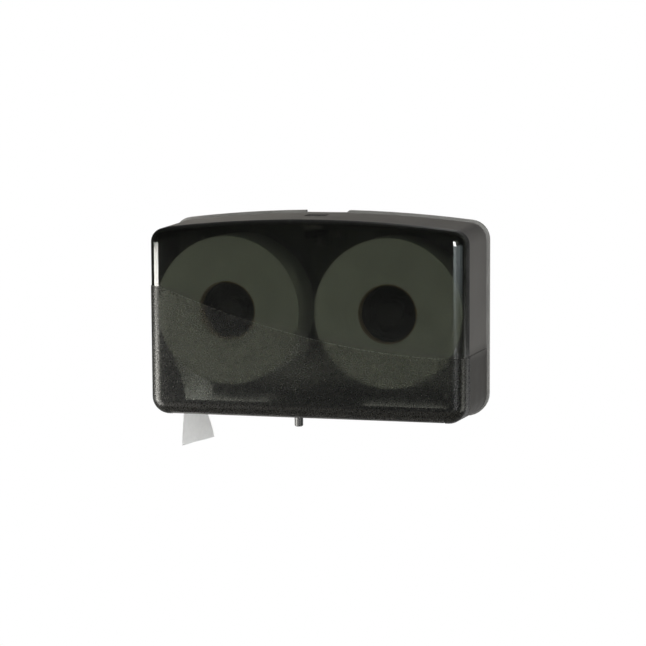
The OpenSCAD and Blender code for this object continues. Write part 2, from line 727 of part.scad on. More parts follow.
backplate();
front_cover();
outlet_tray();
tray_screws();
hinge_pin(-1);  // hinge_pin_left
hinge_pin(1);  // hinge_pin_right
spindle(-1);  // spindle_left
spindle(1);  // spindle_right
spindle_screws(-1);  // spindle_screws_left
spindle_screws(1);  // spindle_screws_right
spindle_cap(-1);  // spindle_cap_left
spindle_cap(1);  // spindle_cap_right
core_hub(-1);  // core_hub_left
core_hub(1);  // core_hub_right
core(-1);  // core_left
core(1);  // core_right
tissue_roll(-1);  // tissue_roll_left
tissue_roll(1);  // tissue_roll_right
tissue_tail();
tear_strip(-1);  // tear_strip_left
tear_strip(1);  // tear_strip_right
tear_strip_rivets();
gate_panel();
gate_knob();
gate_screw();
latch_bracket();
latch_bracket_screws();
latch_lever();
latch_pin();
latch_spring();
key_bezel();
catch_plate();
catch_screws();
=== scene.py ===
"""Twin jumbo toilet roll dispenser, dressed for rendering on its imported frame.

Lengths are metres in the frame's axes: X right, Y into the wall, Z up, with the
origin in the wall plane midway between the two roll spindles. Depth means the
distance in front of the wall, so a point at depth d has y = -d.
"""

import json
import logging
import math
from collections.abc import Sequence
from dataclasses import dataclass
from enum import Enum

import bpy
import numpy as np
from bpy.types import Material, Mesh, Node, NodeSocket, NodeTree, Object, bpy_prop_collection
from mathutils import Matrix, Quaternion, Vector


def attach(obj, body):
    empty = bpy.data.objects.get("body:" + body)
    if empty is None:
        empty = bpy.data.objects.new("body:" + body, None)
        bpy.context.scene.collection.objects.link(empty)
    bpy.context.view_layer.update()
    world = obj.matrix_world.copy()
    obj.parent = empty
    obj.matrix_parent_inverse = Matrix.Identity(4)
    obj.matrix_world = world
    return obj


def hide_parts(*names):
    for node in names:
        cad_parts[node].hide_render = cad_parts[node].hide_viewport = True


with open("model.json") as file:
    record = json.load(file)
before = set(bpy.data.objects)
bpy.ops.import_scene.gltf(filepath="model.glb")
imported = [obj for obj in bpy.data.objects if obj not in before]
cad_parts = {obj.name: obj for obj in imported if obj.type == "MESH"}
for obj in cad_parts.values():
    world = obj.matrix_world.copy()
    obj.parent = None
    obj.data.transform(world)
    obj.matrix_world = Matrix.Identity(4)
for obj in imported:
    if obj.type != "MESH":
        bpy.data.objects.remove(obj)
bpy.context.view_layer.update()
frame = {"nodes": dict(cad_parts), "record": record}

MM = 0.001
MOTTLE_GAIN = 1.25
TISSUE_SPECULAR = 0.03
WARM, NEUTRAL, COOL = (1.0, 0.98, 0.93), (1.0, 0.98, 0.95), (0.85, 0.98, 1.0)

Rgb = tuple[float, float, float]
Value = float | NodeSocket
Colour = Rgb | NodeSocket
Outputs = bpy_prop_collection

log = logging.getLogger("dispenser")


class Zone(Enum):
    """The zones of the smoked cover, in the order of its material slots."""

    GLOSSY = 0
    TEXTURED = 1
    MATTE = 2


# ---- Node wiring ----


class Wiring:
    """Adds nodes to one node tree, setting or linking their inputs as it goes."""

    def __init__(self, tree: NodeTree) -> None:
        """Starts on the node tree that is filled."""
        self.tree = tree

    def feed(self, node: Node, inputs: dict) -> None:
        """Sets or links inputs of a node.

        Args:
            node: the node.
            inputs: value or output socket for each input, by name or index.
        """
        for key, value in inputs.items():
            if isinstance(value, NodeSocket):
                self.tree.links.new(value, node.inputs[key])
            else:
                node.inputs[key].default_value = value

    def wear(self, node: Node, **inputs: Value | Rgb) -> None:
        """Feeds a node by keyword, with underscores in the names read as spaces."""
        self.feed(node, {key.replace("_", " "): value for key, value in inputs.items()})

    def add(self, kind: str, inputs: dict | None = None, **settings) -> Node:
        """Adds one node.

        Args:
            kind: the node's type name.
            inputs: value or output socket for each input, by name or index.
            settings: attributes of the node itself.

        Returns:
            The new node.
        """
        node = self.tree.nodes.new(kind)
        for key, value in settings.items():
            setattr(node, key, value)
        self.feed(node, inputs or {})
        return node

    def place(self, group: NodeTree, **inputs: Value) -> Outputs:
        """Places a shared node group.

        Args:
            group: the group.
            inputs: value of each of its inputs, with underscores read as spaces.

        Returns:
            The outputs of the new group node.
        """
        node = self.add("ShaderNodeGroup", node_tree=group)
        self.wear(node, **inputs)
        return node.outputs

    def here(self) -> NodeSocket:
        """Returns a socket with the shaded point in Object coordinates."""
        return self.add("ShaderNodeTexCoord").outputs["Object"]

    def math(self, operation: str, *values: Value) -> NodeSocket:
        """Adds a Math node on numbers or sockets and returns its output."""
        node = self.add("ShaderNodeMath", dict(enumerate(values)), operation=operation)
        return node.outputs[0]

    def spread(self, value: Value, low: float, high: float,
               to_low: float = 0.0, to_high: float = 1.0) -> NodeSocket:
        """Maps a value from one range to another, clamped, and returns the output."""
        node = self.add("ShaderNodeMapRange",
                        {"Value": value, 1: low, 2: high, 3: to_low, 4: to_high})
        return node.outputs[0]

    def blend(self, share: Value, first: Colour, second: Colour) -> NodeSocket:
        """Mixes two colours.

        Args:
            share: how much of the second colour there is, 0 to 1.
            first: a colour of three channels or a socket.
            second: the other colour.

        Returns:
            The mixed colour's socket.
        """
        first, second = (colour if isinstance(colour, NodeSocket) else (*colour, 1.0)
                         for colour in (first, second))
        node = self.add("ShaderNodeMix", {0: share, 6: first, 7: second}, data_type="RGBA")
        return node.outputs[2]

    def noise(self, at: NodeSocket, scale: Value, detail: float) -> NodeSocket:
        """Adds noise read at a point, with its scale in cells to the metre."""
        node = self.add("ShaderNodeTexNoise", {"Vector": at, "Scale": scale, "Detail": detail})
        return node.outputs[0]

    def bump(self, height: Value, distance: float, strength: float = 1.0) -> NodeSocket:
        """Turns a height, of which 1 stands a distance high, into a normal."""
        node = self.add("ShaderNodeBump",
                        {"Height": height, "Distance": distance, "Strength": strength})
        return node.outputs[0]


def effect_group(name: str, inputs: dict[str, float], outputs: list[str]) -> tuple:
    """Makes an empty shader node group with named float sockets.

    Args:
        name: the group's name.
        inputs: default value of each float input, by name.
        outputs: names of the float outputs.

    Returns:
        The group, its Wiring, the sockets of its inputs and its output node.
    """
    group = bpy.data.node_groups.new(name, "ShaderNodeTree")
    for label, value in inputs.items():
        socket = group.interface.new_socket(label, in_out="INPUT", socket_type="NodeSocketFloat")
        socket.default_value = value
    for label in outputs:
        group.interface.new_socket(label, in_out="OUTPUT", socket_type="NodeSocketFloat")
    wiring = Wiring(group)
    return group, wiring, wiring.add("NodeGroupInput").outputs, wiring.add("NodeGroupOutput")


class Effects:
    """The surface effects that several finishes share, each built once."""

    def __init__(self) -> None:
        """Builds all the groups."""
        self.mould_grain = self._mould_grain()
        self.wound_layers = self._wound_layers()
        self.crepe = self._crepe()
        self.drawn_lines = self._drawn_lines()

    @staticmethod
    def _mould_grain() -> NodeTree:
        """Spark-eroded mould grain: fine noise for relief and a broad, faint mottle.

        Returns:
            The group.
        """
        group, w, given, out = effect_group(
            "mould_grain", {"Grain": 1800.0, "Mottle": 25.0}, ["Mottle", "Height"])
        at = w.here()
        broad = w.noise(at, given["Mottle"], 4.0)
        w.wear(out, Mottle=w.spread(broad, 0.3, 0.7),
               Height=w.noise(at, given["Grain"], 2.0))
        return group

    @staticmethod
    def _wound_layers() -> NodeTree:
        """Wound paper seen end on: noise read along the radius from a Y-parallel axis.

        Returns:
            The group.
        """
        group, w, given, out = effect_group(
            "wound_layers", {"Axis X": 0.0, "Layers": 900.0}, ["Layer", "Band", "Height"])
        at = w.add("ShaderNodeSeparateXYZ", {0: w.here()}).outputs
        across = w.math("SUBTRACT", at[0], given["Axis X"])
        square = w.math("ADD", w.math("MULTIPLY", across, across), w.math("MULTIPLY", at[2], at[2]))
        radius = w.math("SQRT", square)
        fine, band = (
            w.add("ShaderNodeTexNoise", {"W": along, "Scale": scale, "Detail": 2.0},
                  noise_dimensions="1D").outputs[0]
            for along, scale in ((w.math("MULTIPLY", radius, given["Layers"]), 1.0),
                                 (radius, 120.0)))
        w.wear(out, Height=fine, Layer=w.spread(fine, 0.35, 0.65),
               Band=w.spread(band, 0.3, 0.7))
        return group

    @staticmethod
    def _crepe() -> NodeTree:
        """Creped tissue: short crinkles across the web over soft clouds of fibre.

        Returns:
            The group.
        """
        group, w, given, out = effect_group("crepe", {"Crinkle": 1400.0}, ["Fibre", "Height"])
        at = w.here()
        squeezed = w.add("ShaderNodeMapping", {0: at, 3: (1.0, 0.35, 1.6)}).outputs[0]
        crinkle = w.noise(squeezed, given["Crinkle"], 3.0)
        cloud = w.noise(at, 160.0, 5.0)
        both = w.math("ADD", w.math("MULTIPLY", crinkle, 0.6), w.math("MULTIPLY", cloud, 0.4))
        w.wear(out, Fibre=w.spread(cloud, 0.3, 0.7), Height=both)
        return group

    @staticmethod
    def _drawn_lines() -> NodeTree:
        """Drawn or brushed metal: noise stretched along Y, with faint stains.

        Returns:
            The group.
        """
        group, w, given, out = effect_group("drawn_lines", {"Lines": 2500.0}, ["Line", "Stain"])
        at = w.here()
        pulled = w.add("ShaderNodeMapping", {0: at, 3: (1.0, 0.04, 1.0)}).outputs[0]
        stain = w.noise(at, 180.0, 4.0)
        w.wear(out, Line=w.noise(pulled, given["Lines"], 2.0),
               Stain=w.spread(stain, 0.35, 0.7))
        return group


class Surface(Wiring):
    """The wiring of one new material that holds a Principled shader."""

    def __init__(self, name: str, effects: Effects | None = None) -> None:
        """Makes the material.

        Args:
            name: its name.
            effects: the shared node groups, where it uses any.
        """
        self.material = bpy.data.materials.new(name)
        self.material.use_nodes = True
        super().__init__(self.material.node_tree)
        self.shader = self.tree.nodes["Principled BSDF"]
        self.effects = effects

    def mould(self, grain: Outputs, tones: Sequence[Colour], roughness: float,
              relief: float) -> None:
        """Gives the shader the tone, gloss and relief of a spark-eroded mould.

        Args:
            grain: outputs of a mould_grain group.
            tones: the colours between which the mottle moves.
            roughness: the middle of the gloss.
            relief: depth of the grain.
        """
        mottle = grain["Mottle"]
        self.wear(self.shader, Base_Color=self.blend(mottle, *tones),
                  Roughness=self.spread(mottle, 0.0, 1.0, roughness - 0.05, roughness + 0.07),
                  Normal=self.bump(grain["Height"], relief, 0.6))


# ---- Finishes ----


def scaled(colour: Rgb, by: float, plus: float = 0.0) -> Rgb:
    """Scales and lifts a colour, with no channel above 1."""
    return tuple(min(1.0, channel * by + plus) for channel in colour)


@dataclass(frozen=True)
class Finish:
    """One procedural surface. Each kind fills the shader in its own way."""

    name: str

    def make(self, effects: Effects) -> Material:
        """Builds the material.

        Args:
            effects: the shared node groups.

        Returns:
            The material.
        """
        surface = Surface(self.name, effects)
        self.fill(surface)
        return surface.material

    def fill(self, w: Surface) -> None:
        """Gives the material its look.

        Args:
            w: the new material's surface.
        """
        raise NotImplementedError


@dataclass(frozen=True)
class MouldedPlastic(Finish):
    """Opaque moulded plastic with spark-eroded grain."""

    colour: Rgb
    roughness: float = 0.42
    grain: float = 1800.0
    relief: float = 0.04 * MM

    def fill(self, w: Surface) -> None:
        """Mottles and grains one colour."""
        tones = self.colour, scaled(self.colour, MOTTLE_GAIN, 0.004)
        w.mould(w.place(w.effects.mould_grain, Grain=self.grain), tones,
                self.roughness, self.relief)


@dataclass(frozen=True)
class SmokedPlastic(Finish):
    """Smoked polycarbonate, polished or frosted: it dims what is behind it."""

    tint: Rgb
    roughness: float
    frosted: bool = False
    relief: float = 0.12 * MM
    grain: float = 560.0
    shadow_cover: float = 0.7
    ior: float = 1.55
    frost_depth: float = 0.62
    gloss_depth: float = 0.92

    def fill(self, w: Surface) -> None:
        """Makes tinted glass that a shadow ray passes as a thin dark pane.

        Args:
            w: the new material's surface.
        """
        grain = w.place(w.effects.mould_grain, Grain=self.grain)
        if self.frosted:
            speckle = w.spread(grain["Height"], 0.4, 0.6)
            deep = scaled(self.tint, self.frost_depth)
            w.wear(w.shader, Normal=w.bump(grain["Height"], self.relief, 0.8))
        else:
            speckle = grain["Mottle"]
            deep = scaled(self.tint, self.gloss_depth)
        shadow = w.add("ShaderNodeLightPath").outputs["Is Shadow Ray"]
        w.wear(w.shader, Base_Color=w.blend(speckle, deep, self.tint),
               Roughness=w.spread(speckle, 0.0, 1.0, self.roughness * 0.9, self.roughness * 1.1),
               IOR=self.ior, Transmission_Weight=1.0,
               Alpha=w.spread(shadow, 0.0, 1.0, 1.0, self.shadow_cover))


@dataclass(frozen=True)
class EtchedSide(Finish):
    """The cover's opaque-looking top and sides: darker below the height of the step.

    The line where the tone changes falls from the left side wall to the right one.
    """

    colour: Rgb
    low_colour: Rgb
    roughness: float = 0.5
    line_height: float = -12.5 * MM
    line_fall: float = 0.2
    fade: float = 11 * MM
    relief: float = 0.04 * MM

    def fill(self, w: Surface) -> None:
        """Fades from the low tone to the high one, each with its mottle.

        Args:
            w: the new material's surface.
        """
        grain = w.place(w.effects.mould_grain)
        at = w.add("ShaderNodeSeparateXYZ", {0: w.here()}).outputs
        level = w.math("ADD", at[2], w.math("MULTIPLY", at[0], self.line_fall))
        high = w.spread(level, self.line_height - self.fade, self.line_height + self.fade)
        tones = [w.blend(high, scaled(self.low_colour, gain), scaled(self.colour, gain))
                 for gain in (1.0, MOTTLE_GAIN)]
        w.mould(grain, tones, self.roughness, self.relief)
        w.wear(w.shader, Specular_IOR_Level=0.2)


@dataclass(frozen=True)
class PlatedSteel(Finish):
    """Zinc-plated or stainless steel with fine drawn lines and faint stains."""

    colour: Rgb = (0.62, 0.61, 0.58)
    roughness: float = 0.3

    def fill(self, w: Surface) -> None:
        """Draws lines in the gloss and stains in the colour."""
        lines = w.place(w.effects.drawn_lines)
        w.wear(w.shader, Base_Color=w.blend(lines["Stain"], self.colour, scaled(self.colour, 0.7)),
               Roughness=w.spread(lines["Line"], 0.3, 0.7, self.roughness - 0.08,
                                  self.roughness + 0.1),
               Metallic=1.0)


@dataclass(frozen=True)
class CoreBoard(Finish):
    """Spiral-wound grey-brown cardboard round one spindle axis."""

    axis_x: float
    colour: Rgb = (0.36, 0.28, 0.19)

    def fill(self, w: Surface) -> None:
        """Lays paler plies and mottle over the board's colour.

        Args:
            w: the new material's surface.
        """
        layers = w.place(w.effects.wound_layers, Axis_X=self.axis_x)
        grain = w.place(w.effects.mould_grain, Grain=900.0)
        share = w.math("MULTIPLY", w.math("ADD", layers["Layer"], grain["Mottle"]), 0.5)
        w.wear(w.shader, Base_Color=w.blend(share, self.colour, scaled(self.colour, 1.35)),
               Roughness=w.spread(share, 0.0, 1.0, 0.82, 0.92),
               Normal=w.bump(grain["Height"], 0.1 * MM))


@dataclass(frozen=True)
class WoundTissue(Finish):
    """Roll of soft white tissue: fine layers end on, crepe round the outside."""

    axis_x: float
    colour: Rgb = (0.86, 0.86, 0.82)

    def fill(self, w: Surface) -> None:
        """Winds layers in tone and relief over the crepe.

        Args:
            w: the new material's surface.
        """
        layers = w.place(w.effects.wound_layers, Axis_X=self.axis_x)
        crepe = w.place(w.effects.crepe)
        height = w.math("ADD", w.math("MULTIPLY", layers["Height"], 0.7),
                        w.math("MULTIPLY", crepe["Height"], 0.3))
        share = w.math("MULTIPLY", layers["Layer"], layers["Band"])
        w.wear(w.shader, Base_Color=w.blend(share, self.colour, scaled(self.colour, 0.9)),
               Roughness=w.spread(crepe["Fibre"], 0.0, 1.0, 0.9, 1.0),
               Specular_IOR_Level=TISSUE_SPECULAR, Normal=w.bump(height, 0.4 * MM, 0.7))


@dataclass(frozen=True)
class LooseTissue(Finish):
    """The hanging end of the paper, one soft creped web."""

    name: str = "tissue_web"
    colour: Rgb = (0.93, 0.93, 0.92)

    def fill(self, w: Surface) -> None:
        """Crinkles the web, a little darker here and there."""
        crepe = w.place(w.effects.crepe)
        w.wear(w.shader, Base_Color=w.blend(crepe["Fibre"], self.colour, scaled(self.colour, 0.94)),
               Roughness=w.spread(crepe["Fibre"], 0.0, 1.0, 0.92, 1.0),
               Specular_IOR_Level=TISSUE_SPECULAR, Normal=w.bump(crepe["Height"], 0.2 * MM, 0.6))


# ---- Mesh making ----


def smooth(mesh: Mesh, limit: float) -> None:
    """Smooths a mesh but for the edges that turn by more degrees than a limit."""
    mesh.shade_smooth()
    mesh.set_sharp_from_angle(angle=math.radians(limit))


def piece_of(name: str, points: np.ndarray, faces: list, smooth_to: float = 35.0) -> Object:
    """Makes an object from points and faces, smooth but for its sharper edges.

    Args:
        name: the piece's name.
        points: positions, shape (n, 3).
        faces: lists of vertex indices, wound to face outwards.
        smooth_to: edges that turn by more degrees than this stay sharp.

    Returns:
        The new object, linked to the scene.
    """
    mesh = bpy.data.meshes.new(name)
    mesh.from_pydata(np.asarray(points, float).tolist(), [], faces)
    mesh.validate()
    smooth(mesh, smooth_to)
    piece = bpy.data.objects.new(name, mesh)
    bpy.context.collection.objects.link(piece)
    return piece


def ring_faces(first: int, second: int, count: int) -> np.ndarray:
    """Joins two closed rings of vertices.

    Args:
        first: index of the first ring's first vertex.
        second: index of the second ring's first vertex.
        count: vertices in a ring.

    Returns:
        One quad for each vertex of a ring, shape (count, 4).
    """
    here = np.arange(count)
    there = (here + 1) % count
    return np.stack([first + here, first + there, second + there, second + here], axis=1)


def grid_faces(rows: int, cols: int) -> np.ndarray:
    """Covers an open grid of vertices, stored row by row, with quads.

    Args:
        rows: rows of vertices.
        cols: vertices in a row.

    Returns:
        The quads, shape (n, 4).
    """
    r, c = np.meshgrid(np.arange(rows - 1), np.arange(cols - 1), indexing="ij")
    a = (r * cols + c).ravel()
    return np.stack([a, a + 1, a + cols + 1, a + cols], axis=1)


def full_turn(steps: int) -> np.ndarray:
    """Returns evenly spaced angles round a circle, without the last, in radians."""
    return np.linspace(0, 2 * math.pi, steps, endpoint=False)


def capped(count: int) -> list:
    """Walls and both caps of a solid between two rings of so many vertices."""
    ring = list(range(count))
    return [*ring_faces(0, count, count).tolist(), ring[::-1], [at + count for at in ring]]


def prism(name: str, outline: np.ndarray, low: float, high: float) -> Object:
    """Makes an upright prism from an anticlockwise outline in X and Y.

    Args:
        name: the object's name.
        outline: corners in plan, shape (n, 2).
        low: height of the floor.
        high: height of the top.

    Returns:
        The prism.
    """
    count = len(outline)
    levels = [np.column_stack([outline, np.full(count, z)]) for z in (low, high)]
    return piece_of(name, np.vstack(levels), capped(count))


def rounded_plan(x: tuple, y: tuple, radius: float, steps: int = 8) -> np.ndarray:
    """Draws a rectangle with rounded corners.

    Args:
        x: its least and greatest X.
        y: its least and greatest Y.
        radius: radius of the corners.
        steps: segments in a corner.

    Returns:
        The corners in plan, anticlockwise, shape (n, 2).
    """
    corners = [(x[1] - radius, y[1] - radius, 0), (x[0] + radius, y[1] - radius, 90),
               (x[0] + radius, y[0] + radius, 180), (x[1] - radius, y[0] + radius, 270)]
    points = []
    for cx, cy, start in corners:
        angle = np.radians(start + np.linspace(0, 90, steps + 1))
        points.append(np.column_stack([cx + radius * np.cos(angle), cy + radius * np.sin(angle)]))
    return np.vstack(points)


def bar_along_x(name: str, x: tuple, y: float, z: float, radius: float) -> Object:
    """Makes a round bar along X.

    Args:
        name: the object's name.
        x: where it starts and ends.
        y: its axis's Y.
        z: its axis's Z.
        radius: its radius.

    Returns:
        The bar.
    """
    angle = full_turn(48)
    ring = np.column_stack([y + radius * np.cos(angle), z + radius * np.sin(angle)])
    rings = [np.column_stack([np.full(len(ring), at), ring]) for at in x]
    return piece_of(name, np.vstack(rings), capped(len(ring)))


def combine(piece: Object, tools: list[tuple[Object, str]]) -> None:
    """Joins or cuts a piece with other solids, in order, and removes those solids.

    Args:
        piece: the solid that is changed.
        tools: each other solid with UNION or DIFFERENCE.
    """
    for tool, operation in tools:
        change = piece.modifiers.new("combine", "BOOLEAN")
        change.operation, change.object, change.solver = operation, tool, "EXACT"
    depsgraph = bpy.context.evaluated_depsgraph_get()
    mesh = bpy.data.meshes.new_from_object(piece.evaluated_get(depsgraph))
    piece.modifiers.clear()
    piece.data = mesh
    for tool, _ in tools:
        bpy.data.objects.remove(tool, do_unlink=True)
    smooth(mesh, 32)


# ---- Front cover ----


@dataclass
class FrontCover:
    """The smoked cover: a drafted shell with a raised, textured lower zone."""

    width: float = 497 * MM
    depth: float = 157 * MM
    below: float = 164 * MM
    above: float = 126 * MM
    arch_rise: float = 16 * MM
    top_radius: float = 26 * MM
    bottom_radius: float = 31 * MM
    edge_radius: float = 18 * MM
    draft: float = 5 * MM
    wall: float = 3 * MM
    back: float = 10.4 * MM
    wave_left: float = 37 * MM
    wave_right: float = -62 * MM
    wave_power: float = 1.84
    step: float = 1 * MM
    ledge: float = 0.8 * MM
    bend_reach: float = 180 * MM
    lip_depth: float = 151 * MM
    gloss_from: float = 118 * MM
    face_rings: int = 12
    recess_x: tuple[float, float] = (-24 * MM, 10 * MM)
    recess_y: tuple[float, float] = (-68 * MM, -34 * MM)
    recess_z: float = 137.5 * MM
    recess_corner: float = 5 * MM
    pad_z: float = 133.5 * MM
    pad_front: float = -87 * MM
    pad_margin: float = 3 * MM
    key: tuple[float, float] = (-7 * MM, -49 * MM)
    key_radius: float = 6 * MM
    pin: tuple[float, float] = (-45 * MM, -158 * MM)
    lug_x: float = 217.25 * MM
    lug_half: float = 3.75 * MM
    lug_radius: float = 5.5 * MM
    bore_half: float = 6 * MM
    bore_radius: float = 3.05 * MM
    mouth_half: float = 213 * MM
    mouth_low: float = -170 * MM
    mouth_top: float = -140 * MM
    clear_z: float = 200 * MM
    spare: float = 1 * MM

    @property
    def flat_inset(self) -> float:
        """How far in from the back outline the flat front face starts."""
        return self.draft + self.edge_radius

    @property
    def flat_half(self) -> float:
        """Half the width of the flat front face."""
        return self.width / 2 - self.flat_inset

    def wave(self, x: np.ndarray) -> np.ndarray:
        """Height of the step line: a power of the share of the way from the right edge."""
        share = (self.flat_half - x) / (2 * self.flat_half)
        return self.wave_right + (self.wave_left - self.wave_right) * share ** self.wave_power

    def columns(self) -> tuple[np.ndarray, np.ndarray, np.ndarray]:
        """Walks the back outline anticlockwise from the bottom right corner.

        Returns:
            Points, outward normals and 1 where a column is in the raised lower zone.
        """
        half = self.width / 2
        arch = (half ** 2 + self.arch_rise ** 2) / (2 * self.arch_rise)
        arch_z = self.above + self.arch_rise - arch
        top_x = half - self.top_radius
        top_z = arch_z + math.sqrt((arch - self.top_radius) ** 2 - top_x ** 2)
        top_angle = math.degrees(math.atan2(top_z - arch_z, top_x))
        low_x, low_z = half - self.bottom_radius, self.bottom_radius - self.below

        def arc(cx: float, cz: float, radius: float, angles: np.ndarray, low: int) -> list:
            """Columns on an arc."""
            normal = np.column_stack([np.cos(np.radians(angles)), np.sin(np.radians(angles))])
            return [np.array([cx, cz]) + radius * normal, normal, np.full(len(angles), low)]

        def side(sign: int, z: np.ndarray, low: int) -> list:
            """Columns on a straight side."""
            return [np.column_stack([np.full(len(z), sign * half), z]),
                    np.tile([sign, 0.0], (len(z), 1)), np.full(len(z), low)]

        floor = np.linspace(-low_x, low_x, 24)[1:-1]
        runs = [
            arc(low_x, low_z, self.bottom_radius, np.linspace(-90, 0, 17), 1),
            side(1, np.linspace(low_z, self.wave_right - self.ledge, 6)[1:], 1),
            side(1, np.linspace(self.wave_right, top_z, 10)[:-1], 0),
            arc(top_x, top_z, self.top_radius, np.linspace(0, top_angle, 17), 0),
            arc(0, arch_z, arch, np.linspace(top_angle, 180 - top_angle, 42)[1:-1], 0),
            arc(-top_x, top_z, self.top_radius, np.linspace(180 - top_angle, 180, 17), 0),
            side(-1, np.linspace(top_z, self.wave_left, 7)[1:], 0),
            side(-1, np.linspace(self.wave_left - self.ledge, low_z, 10)[:-1], 1),
            arc(-low_x, low_z, self.bottom_radius, np.linspace(180, 270, 17), 1),
            [np.column_stack([floor, np.full(len(floor), -self.below)]),
             np.tile([0.0, -1.0], (len(floor), 1)), np.full(len(floor), 1)],
        ]
        return tuple(np.concatenate([run[k] for run in runs]) for k in range(3))

    def side_steps(self, radius: float) -> tuple[np.ndarray, np.ndarray, np.ndarray]:
        """Goes down the draft by the start of the gloss to the fillet, then round it.

        Args:
            radius: the fillet's radius, less than the outside's on the inside.

        Returns:
            Inset and depth of each ring, and the angles round the fillet.
        """
        depth = np.array([self.back, self.gloss_from, self.depth - self.edge_radius])
        inset = self.draft * (depth - self.back) / (depth[2] - self.back)
        turn = np.radians(np.linspace(7.5, 90, 12))
        inset = np.concatenate([inset + (self.edge_radius - radius),
                                self.flat_inset - radius * np.cos(turn)])
        return inset, np.concatenate([depth, depth[2] + radius * np.sin(turn)]), turn

    def outer_rings(self) -> tuple[np.ndarray, np.ndarray]:
        """Points of the outside: three rings down the draft, then round the fillet.

        Returns:
            Points, shape (rings, columns, 3), and the columns' low flags.
        """
        points, normals, low = self.columns()
        inset, depth, turn = self.side_steps(self.edge_radius)
        angle = np.concatenate([np.zeros(len(depth) - len(turn)), turn])
        lift = low[None, :] * self.step
        inwards = inset[:, None] - lift * np.cos(angle)[:, None]
        plan = points[None] - inwards[..., None] * normals[None]
        out = depth[:, None] + lift * np.sin(angle)[:, None]
        return np.stack([plan[..., 0], -out, plan[..., 1]], axis=-1), low

    def inner_rings(self) -> np.ndarray:
        """Steps a wall's thickness in from the outside, without the raised zone.

        Returns:
            Points of the inside, shape (rings, columns, 3).
        """
        points, normals, _ = self.columns()
        inset, depth, _ = self.side_steps(self.edge_radius - self.wall)
        plan = points[None] - inset[:, None, None] * normals[None]
        out = np.broadcast_to(depth[:, None], plan.shape[:2])
        return np.stack([plan[..., 0], -out, plan[..., 1]], axis=-1)

    def front_rings(self) -> np.ndarray:
        """Rings that shrink across the front face to poles on the step line.

        The column on the step line at each side is bent to follow the wave, and its
        neighbours bend with it, less the further they start from it.

        Returns:
            Points of the rings, shape (rings, columns, 3).
        """
        points, normals, low = self.columns()
        edge = points - self.flat_inset * normals
        drop = low * self.ledge
        pole = self.wave(np.zeros(1))[0]
        k = np.arange(self.face_rings - 1, 0, -1)[:, None] / self.face_rings
        lift = 0.0
        for sign, start in ((-1, self.wave_left), (1, self.wave_right)):
            bend = self.wave(sign * k * self.flat_half) - (pole + k * (start - pole))
            near = np.clip(1 - np.abs(edge[:, 1] + drop - start) / self.bend_reach, 0, None)
            lift = lift + bend * near * np.clip(sign * edge[:, 0] / self.flat_half, 0, None)
        z = pole - drop + k * (edge[:, 1] - pole + drop) + lift
        y = np.broadcast_to(-(self.depth + low * self.step), z.shape)
        return np.stack([k * edge[:, 0], y, z], axis=-1)

    def shell(self) -> Object:
        """Closes outside, front, inside and back edge into one solid, zone by zone.

        Returns:
            The shell, whose faces' material indices are their Zone.
        """
        outer, low = self.outer_rings()
        outside = np.concatenate([outer, self.front_rings()])
        inner = self.inner_rings()
        count = len(low)
        after = (np.arange(count) + 1) % count
        pole = self.wave(np.zeros(1))[0]
        poles = [[0, -self.depth, pole], [0, -self.depth - self.step, pole - self.ledge],
                 [0, self.wall - self.depth, pole]]
        verts = np.vstack([outside.reshape(-1, 3), inner.reshape(-1, 3), poles])
        start = len(outside) * count
        high = start + len(inner) * count
        frosted = np.where(low | low[after], Zone.TEXTURED.value, Zone.GLOSSY.value)
        matte = np.full(count, Zone.MATTE.value)
        polished = np.full(count, Zone.GLOSSY.value)
        faces, zones = [], []
        for k in range(len(outside) - 1):
            faces += ring_faces(k * count, (k + 1) * count, count).tolist()
            zones.append(matte if k == 0 else frosted)
        last = (len(outside) - 1) * count
        for i, j in enumerate(after):
            tips = [high + low[j], high + low[i]]
            faces.append([last + i, last + j, *dict.fromkeys(tips)])
        zones.append(frosted)
        for k in range(len(inner) - 1):
            a = start + k * count
            faces += ring_faces(a, a + count, count)[:, ::-1].tolist()
            zones.append(matte if k == 0 else polished)
        last = start + (len(inner) - 1) * count
        faces += [[last + j, last + i, high + 2] for i, j in enumerate(after)]
        faces += ring_faces(start, 0, count).tolist()
        piece = piece_of("cover_shell", verts, faces)
        order = np.concatenate([*zones, polished, matte]).astype(np.int32)
        piece.data.polygons.foreach_set("material_index", order)
        return piece

    def build(self, finishes: dict[Zone, Material]) -> Object:
        """Makes the cover with its key recess, open floor and hinge lugs.

        Args:
            finishes: the material of each zone.

        Returns:
            The cover, riding on its body in place of the CAD solid.
        """
        cover = self.shell()
        for zone in Zone:
            cover.data.materials.append(finishes[zone])
        pad = rounded_plan((self.recess_x[0] - self.pad_margin, self.recess_x[1] + self.pad_margin),
                           (self.pad_front, -self.back), 0.5 * MM, 2)
        turn = full_turn(48)
        hole = np.column_stack([self.key[0] + self.key_radius * np.cos(turn),
                                self.key[1] + self.key_radius * np.sin(turn)])
        mouth = rounded_plan((-self.mouth_half, self.mouth_half), (-self.lip_depth, 0), 0.4 * MM, 3)
        recess = rounded_plan(self.recess_x, self.recess_y, self.recess_corner)
        key_span = self.pad_z - self.spare, self.recess_z + self.spare
        tools = [
            (prism("pad", pad, self.pad_z, self.recess_z), "UNION"),
            *self.lug_bars("lug", self.lug_half, self.lug_radius, "UNION"),
            (prism("floor_cut", mouth, self.mouth_low, self.mouth_top), "DIFFERENCE"),
            (prism("recess", recess, self.recess_z, self.clear_z), "DIFFERENCE"),
            (prism("key_hole", hole, *key_span), "DIFFERENCE"),
            *self.lug_bars("bore", self.bore_half, self.bore_radius, "DIFFERENCE"),
        ]
        combine(cover, tools)
        self.zone_the_cuts(cover.data)
        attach(cover, "cover")
        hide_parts("front_cover")
        return cover

